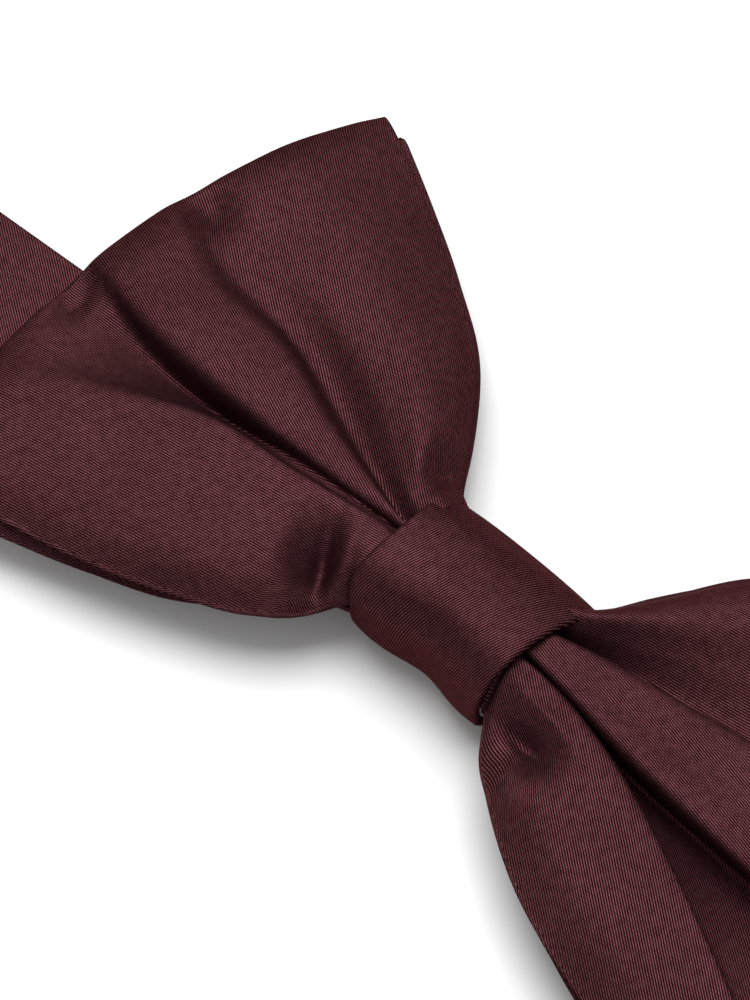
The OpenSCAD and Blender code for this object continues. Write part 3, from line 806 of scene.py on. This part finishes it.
def ribbon(name, route, width, thick, side, seam=0.0):
    """Flat folded tape along a route of (along, height) points: its section is a thin bar with round
    edges, and a seam groove as deep as seam runs down the middle of the face to the route's left."""
    tangent = np.gradient(route, axis=0)
    tangent /= np.linalg.norm(tangent, axis=1)[:, None]
    normal = np.stack([-tangent[:, 1], tangent[:, 0]], -1)
    t = np.linspace(0, 1, 56, endpoint=False)
    across_unit, through_unit = ribbon_section(t)
    across = across_unit[None] * np.broadcast_to(width, len(route))[:, None] / 2
    through = through_unit[None] * thick / 2 + 0 * across
    through = through + np.where(through_unit[None] > 0, -seam * np.exp(-(across / 0.3) ** 2), 0)
    along = route[:, None, 0] + normal[:, None, 0] * through
    height = route[:, None, 1] + normal[:, None, 1] * through
    points = band_place(along, across, height, side)
    weave = thread_places(arc_length(route)[:, None] + 0 * across, across, BAND_RIBS)
    piece = cloth_mesh(name, points, weave, wrap_cols=True, cap_rows=True)
    return finish_piece(piece, SATIN)


def ribbon_section(t):
    """Closed section of a tape in units of its half width and half thickness: nearly straight faces
    joined by round edges."""
    a = 2 * math.pi * (t + 0.003)
    c, s = np.cos(a), np.sin(a)
    across = np.sign(c) * np.abs(c) ** 0.55
    through = np.sign(s) * np.minimum(1, np.abs(s) * 3.2) ** 0.6
    return across, through


def arc_route(centre, radius, start, stop, count):
    """Points on an arc in (along, height), by angles in degrees."""
    a = np.radians(np.linspace(start, stop, count))
    return np.stack([centre[0] + radius * np.cos(a), centre[1] + radius * np.sin(a)], -1)


def upper_band(side):
    """The band from the middle of the knot out to where it folds. It narrows to pass through the knot."""
    name = SIDE_NAME[side]
    route = polyline([(0, UPPER_Z), (FOLD_REACH, UPPER_Z)], 1.0, BAND_STEP)
    width = BAND_WIDTH - KNOT_PINCH * (1 - smooth_step(route[:, 0], 8, 17))
    piece = ribbon(f"band_upper_{name}", route, width, BAND_THICK, side, seam=BAND_SEAM)
    nodes = [f"neck_band_{name}"] + (["neck_band_centre"] if side < 0 else [])
    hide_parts(*nodes)
    blend_band(piece, "centre", f"{name}_band", *BAND_BEND, side)


def blend_band(piece, first, second, start, end, side):
    """Bakes a piece of tape's transform into its mesh; it does not bend it, and the bodies first and
    second are not used.
    """
    start, end = (tuple(float(c) for c in band_place(*place, side) * MM) for place in (start, end))
    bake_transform(piece)


def lower_band(side, inner_end):
    """The fold of the band and its lower run on the table."""
    name = SIDE_NAME[side]
    fold = arc_route((FOLD_REACH, FOLD_Z), FOLD_RADIUS, 90, -90, 26)
    run = polyline([(FOLD_REACH, LOWER_Z), (inner_end, LOWER_Z)], 1.0, BAND_STEP)[1:]
    route = np.concatenate([fold, run])
    piece = ribbon(f"band_lower_{name}", route, BAND_WIDTH, BAND_THICK, side, seam=BAND_SEAM)
    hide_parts(f"neck_band_{name}_fold", f"neck_band_{name}_end")
    start, end = (FOLD_REACH, 0, 4.4), (FOLD_REACH - 2.0, 0, 1.0)
    blend_band(piece, f"{name}_band", f"{name}_tail", start, end, side)


def band_canvas(side):
    """Canvas strip inside the upper run."""
    name = SIDE_NAME[side]
    route = polyline([(HINGE_REACH + 1, UPPER_Z), (FOLD_REACH - 1.3, UPPER_Z)], 1.0, 2 * BAND_STEP)
    piece = ribbon(f"band_canvas_{name}", route, BAND_WIDTH - 2.0, 0.35, side)
    finish_piece(piece, CANVAS)
    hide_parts(f"neck_interlining_{name}")
    blend_band(piece, "centre", f"{name}_band", *BAND_BEND, side)


BAR_PLACE, BAR_Z = 46.0, 1.25                 # the hook's and the eye's bars
TAPE_THICK, TAPE_WIDTH = 0.5, 14.0
LOOP_RADIUS = 1.0                             # from a bar's middle to the middle of the tape on it
SLIDER_PLACE = 78.0
LOW_PLY, HIGH_PLY = 0.25, 0.80                # middles of the tape's two plies on the table
OVER_BAR = 3.10                               # and of the ply that lies over the slider


def bar_loop(inner_end):
    """Route of a tape that runs in on top, turns down round a bar and comes back under itself."""
    loop = arc_route((BAR_PLACE, BAR_Z), LOOP_RADIUS, 38, 270, 26)
    return np.concatenate([[(inner_end, HIGH_PLY), (BAR_PLACE + 2.2, HIGH_PLY)], loop,
                           [(BAR_PLACE + 1.5, LOW_PLY), (inner_end, LOW_PLY)]])


def eye_loop():
    """The end of the left band: a thinner tape round the eye's bar, sewn to the band."""
    route = polyline(bar_loop(BAR_PLACE + 3.4), 0.7, 0.2)
    piece = ribbon("eye_loop", route, TAPE_WIDTH, TAPE_THICK * 0.94, -1)
    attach(piece, "left_tail")


def adjuster_near():
    """The adjuster tape from the band's sewn end to the top of the slider's middle bar."""
    route = [(FOLD_REACH - 5.9, HIGH_PLY), (SLIDER_PLACE + 7, HIGH_PLY), (SLIDER_PLACE + 4.2, HIGH_PLY),
             (SLIDER_PLACE + 1.6, OVER_BAR), (SLIDER_PLACE, OVER_BAR)]
    piece = ribbon("adjuster_near", polyline(route, 1.1, 0.4), TAPE_WIDTH, TAPE_THICK * 0.96, 1)
    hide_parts("adjuster_tape_single")
    blend_band(piece, "right_tail", "slider", (103, 0, 0.8), (86, 0, 0.8), 1)


def adjuster_far():
    """The rest of the tape: down from the slider, out to the hook's bar, round it and back underneath,
    then round the slider's middle bar, where its end is sewn."""
    x = SLIDER_PLACE
    there = [(x, OVER_BAR), (x - 1.6, OVER_BAR), (x - 4.2, HIGH_PLY)]
    back = [(x - 1.7, LOW_PLY), (x - 1.2, 0.7), (x - 1.2, 2.52), (x + 1.2, 2.52), (x + 1.2, 0.88),
            (x - 0.7, 0.88)]
    route = np.concatenate([there, bar_loop(x - 5.0), back])
    piece = ribbon("adjuster_far", polyline(route, 0.7, 0.3), TAPE_WIDTH, TAPE_THICK * 0.92, 1)
    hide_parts("slider_tape_loop", "adjuster_tape_over_slider", "adjuster_tape_double",
                "hook_tape_loop")
    blend_band(piece, "slider", "hook_end", (69, 0, 0.8), (53, 0, 0.8), 1)


def end_stitching(side, first, z):
    """Two rows of stitches across the band."""
    name = SIDE_NAME[side]
    across = np.linspace(-6, 6, 11)
    along = np.repeat([first, first + 2.4], len(across))
    places = band_place(along, np.tile(across, 2), np.full(len(along), z), side)
    tail, node = f"{name}_tail", f"{name}_end_stitches"
    stitches(f"band_end_stitching_{name}", places, BAND_TURN, 0.32, tail, node)


for band_direction in (-1, 1):
    upper_band(band_direction)
    band_canvas(band_direction)
lower_band(-1, BAR_PLACE + 3.2)
lower_band(1, FOLD_REACH - 6.0)
eye_loop()
adjuster_near()
adjuster_far()
STITCH_Z = BAND_THICK + 0.03
end_stitching(-1, BAR_PLACE + 5, STITCH_Z)
end_stitching(1, FOLD_REACH - 4.2, STITCH_Z)


# ---- floor, light and camera -----------------------------------------

def floor():
    """Pale floor just under the object."""
    mesh = bpy.data.meshes.new("floor")
    size = 3.0
    mesh.from_pydata([(-size, -size, 0), (size, -size, 0), (size, size, 0), (-size, size, 0)], [],
                     [(0, 1, 2, 3)])
    piece = bpy.data.objects.new("floor", mesh)
    scene.collection.objects.link(piece)
    material, _, _, shader = new_material("pale floor")
    shader.inputs["Base Color"].default_value = (0.93, 0.93, 0.93, 1.0)
    shader.inputs["Roughness"].default_value = 0.9
    shader.inputs["Specular IOR Level"].default_value = 0.1
    mesh.materials.append(material)


def place_facing(data, name, place, facing):
    """Puts a light or a camera in the scene at a place, looking in a direction."""
    thing = bpy.data.objects.new(name, data)
    thing.location = place
    thing.rotation_mode = "QUATERNION"
    thing.rotation_quaternion = Vector(facing).to_track_quat("-Z", "Y")
    scene.collection.objects.link(thing)
    return thing


def area_light(name, towards, distance, size, watts):
    """Square soft light at a distance in a direction from the bow, facing it."""
    data = bpy.data.lights.new(name, "AREA")
    data.size = size
    data.energy = watts
    direction = np.array(towards, float)
    direction /= np.linalg.norm(direction)
    place_facing(data, name, direction * distance, -direction)


def studio():
    """Even white light from all round, and a large soft light overhead, over the left wing's top edge."""
    world = bpy.data.worlds.new("studio")
    scene.world = world
    world.use_nodes = True
    background = world.node_tree.nodes["Background"]
    background.inputs["Color"].default_value = (1, 1, 1, 1)
    background.inputs["Strength"].default_value = 0.47
    area_light("key", (-0.24, 0.22, 1.0), distance=1.1, size=0.8, watts=12.3)


def camera():
    """Camera above and to the right of the bow's lower edge, looking down at 63 degrees."""
    azimuth, elevation, distance = math.radians(42.6), math.radians(63.0), 0.6
    aim = np.array([-14.96, 1.17, 13.6]) * MM
    back = np.array([math.sin(azimuth) * math.cos(elevation), -math.cos(azimuth) * math.cos(elevation),
                     math.sin(elevation)])
    data = bpy.data.cameras.new("camera")
    data.lens = 194.4
    data.clip_start = 0.01
    scene.camera = place_facing(data, "camera", aim + back * distance, -back)


floor()
studio()
camera()

# Finish of the nodes that come from the frame, by the record's slots
FINISHES = {"satin": SATIN, "interlining": CANVAS, "thread": THREAD, "nickel": NICKEL}
slot_of = {part["node"]: part["material_slot"] for part in frame["record"]["subparts"]}
for node_name, node_object in frame["nodes"].items():
    finish = FINISHES[slot_of[node_name]]
    if not node_object.material_slots:
        node_object.data.materials.append(finish)
    for material_slot in node_object.material_slots:
        material_slot.material = finish
